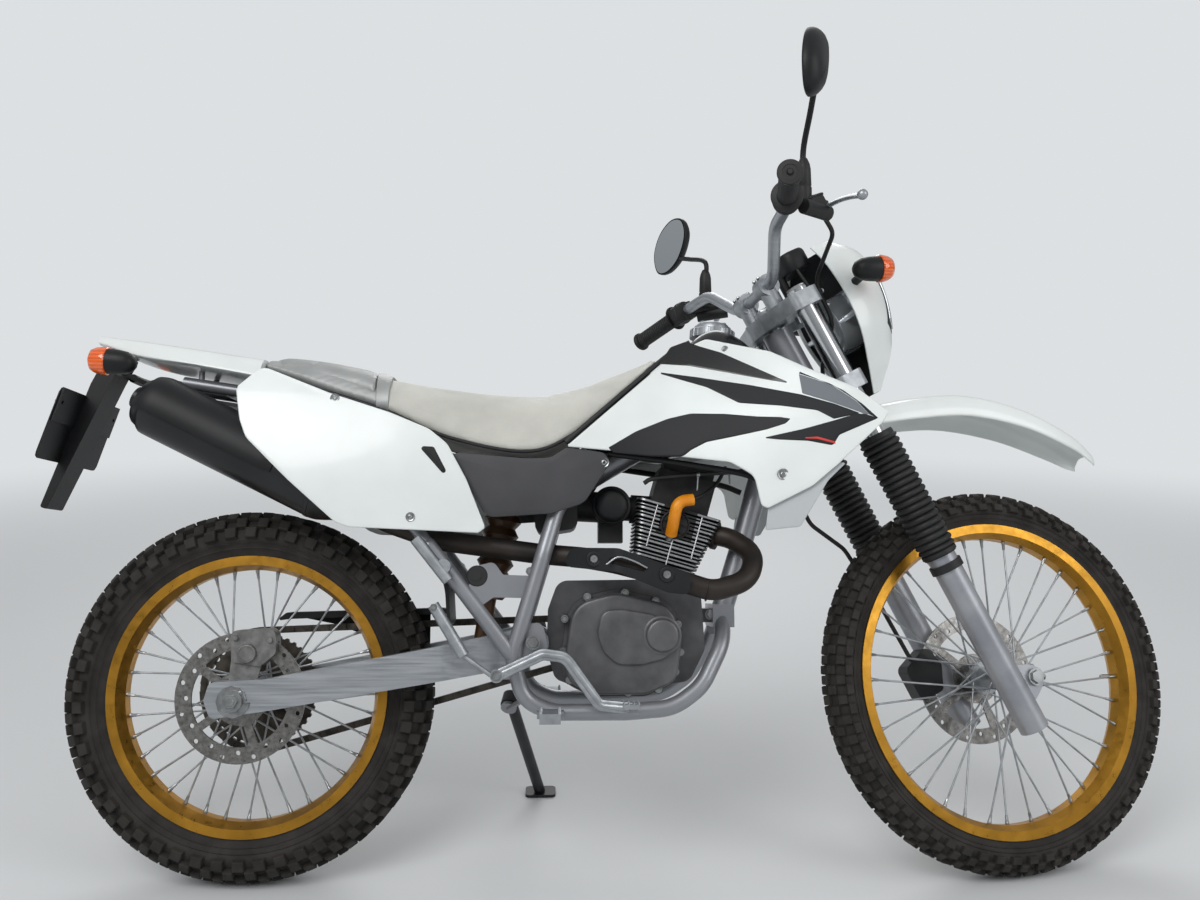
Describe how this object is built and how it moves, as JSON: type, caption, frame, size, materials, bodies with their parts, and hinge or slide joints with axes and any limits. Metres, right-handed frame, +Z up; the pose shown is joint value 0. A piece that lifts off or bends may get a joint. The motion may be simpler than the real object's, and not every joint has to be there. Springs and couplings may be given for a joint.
{
  "type": "dual sport motorcycle",
  "caption": "Single cylinder dual sport motorcycle with wire wheels and knobbed tyres, high front mudguard and long seat, leaning on its side stand.",
  "frame": {"origin": "on the ground below the middle of the leaning machine", "axes": "+X towards the front of the machine, +Y to its left, +Z up"},
  "size_m": [2.0522, 0.8559, 1.4429],
  "materials": {
    "arm_alloy": "brushed",
    "black_plastic": "satin black",
    "black_rubber": "moulded black rubber",
    "caliper_alloy": "grey anodised",
    "cap_silver": "satin",
    "chain_steel": "oiled steel",
    "chrome_steel": "hard chrome",
    "clamp_alloy": "silver",
    "cover_alloy": "dark grey satin paint on castings",
    "disc_steel": "ground steel",
    "engine_alloy": "cast, painted grey",
    "exhaust_black": "satin black paint",
    "exhaust_steel": "heat proof black paint",
    "fin_alloy": "black paint with bright fin edges",
    "frame_paint": "silver grey paint",
    "grey_plastic": "fine texture, dark grey",
    "hub_alloy": "cast and machined",
    "lamp_clear": "clear lens",
    "lamp_orange": "orange lens",
    "leg_alloy": "silver grey paint",
    "pedal_steel": "silver paint",
    "plain_steel": "zinc plated",
    "plug_orange": "moulded orange resin",
    "rim_gold": "gold anodised",
    "seat_vinyl": "light grey grained cover",
    "spring_steel": "painted coil spring",
    "stand_black": "black paint",
    "tank_black": "gloss black paint",
    "tyre_rubber": "moulded rubber",
    "white_plastic": "gloss white"
  },
  "bodies": {
    "chassis": {"chain": "chain_steel", "chain_guard": "black_plastic", "crankcase": "engine_alloy", "cylinder": "fin_alloy", "cylinder_head": "fin_alloy", "engine_covers": "cover_alloy", "exhaust_pipe": "exhaust_steel", "exhaust_shield": "exhaust_black", "foot_controls": "pedal_steel", "footrests": "pedal_steel", "frame_backbone": "frame_paint", "frame_cradle_left": "frame_paint", "frame_cradle_right": "frame_paint", "frame_front": "frame_paint", "fuel_tank": "tank_black", "inner_fender": "black_plastic", "intake": "black_rubber", "lower_covers": "grey_plastic", "muffler": "exhaust_black", "plate_bracket": "black_plastic", "plug_cap": "plug_orange", "rear_axle": "plain_steel", "rear_caliper": "caliper_alloy", "rear_lamps": "lamp_orange", "seat": "seat_vinyl", "shock_absorber": "spring_steel", "shroud_left": "white_plastic", "shroud_right": "white_plastic", "side_cover_left": "white_plastic", "side_cover_right": "white_plastic", "swingarm": "arm_alloy", "tail_cover": "white_plastic", "tank_cap": "cap_silver"},
    "steering": {"brake_hose": "black_rubber", "fork_clamps": "clamp_alloy", "fork_gaiters": "black_rubber", "fork_legs": "leg_alloy", "fork_tubes": "chrome_steel", "front_axle": "plain_steel", "front_caliper": "caliper_alloy", "front_fender": "white_plastic", "front_flashers": "lamp_orange", "hand_controls": "black_rubber", "handlebar": "clamp_alloy", "headlamp": "lamp_clear", "headlamp_cowl": "white_plastic", "meter": "black_plastic", "mirrors": "black_plastic", "speedometer_cable": "black_rubber"},
    "front_wheel": {"front_disc": "disc_steel", "front_hub": "hub_alloy", "front_rim": "rim_gold", "front_tyre": "tyre_rubber"},
    "rear_wheel": {"rear_disc": "disc_steel", "rear_hub": "hub_alloy", "rear_rim": "rim_gold", "rear_sprocket": "plain_steel", "rear_tyre": "tyre_rubber"},
    "side_stand": {"side_stand": "stand_black"}
  },
  "joints": [
    {"name": "steering", "type": "hinge", "parent": "chassis", "child": "steering", "pos_m": [0.63138, -0.21166, 0.30337], "axis": [-0.4526, 0.2133, 0.8658], "range_deg": [-56.3, 29.7]},
    {"name": "front_wheel_spin", "type": "hinge", "parent": "steering", "child": "front_wheel", "pos_m": [0.68346, -0.19196, 0.32574], "axis": [-0.2048, 0.9201, -0.3338], "continuous": true},
    {"name": "rear_wheel_spin", "type": "hinge", "parent": "chassis", "child": "rear_wheel", "pos_m": [-0.65878, -0.20897, 0.31428], "axis": [0, 0.971, -0.2392], "continuous": true},
    {"name": "side_stand_fold", "type": "hinge", "parent": "chassis", "child": "side_stand", "pos_m": [-0.2089, -0.08256, 0.25049], "axis": [0.1819, 0.8421, 0.5078], "range_deg": [0, 95]}
  ]
}
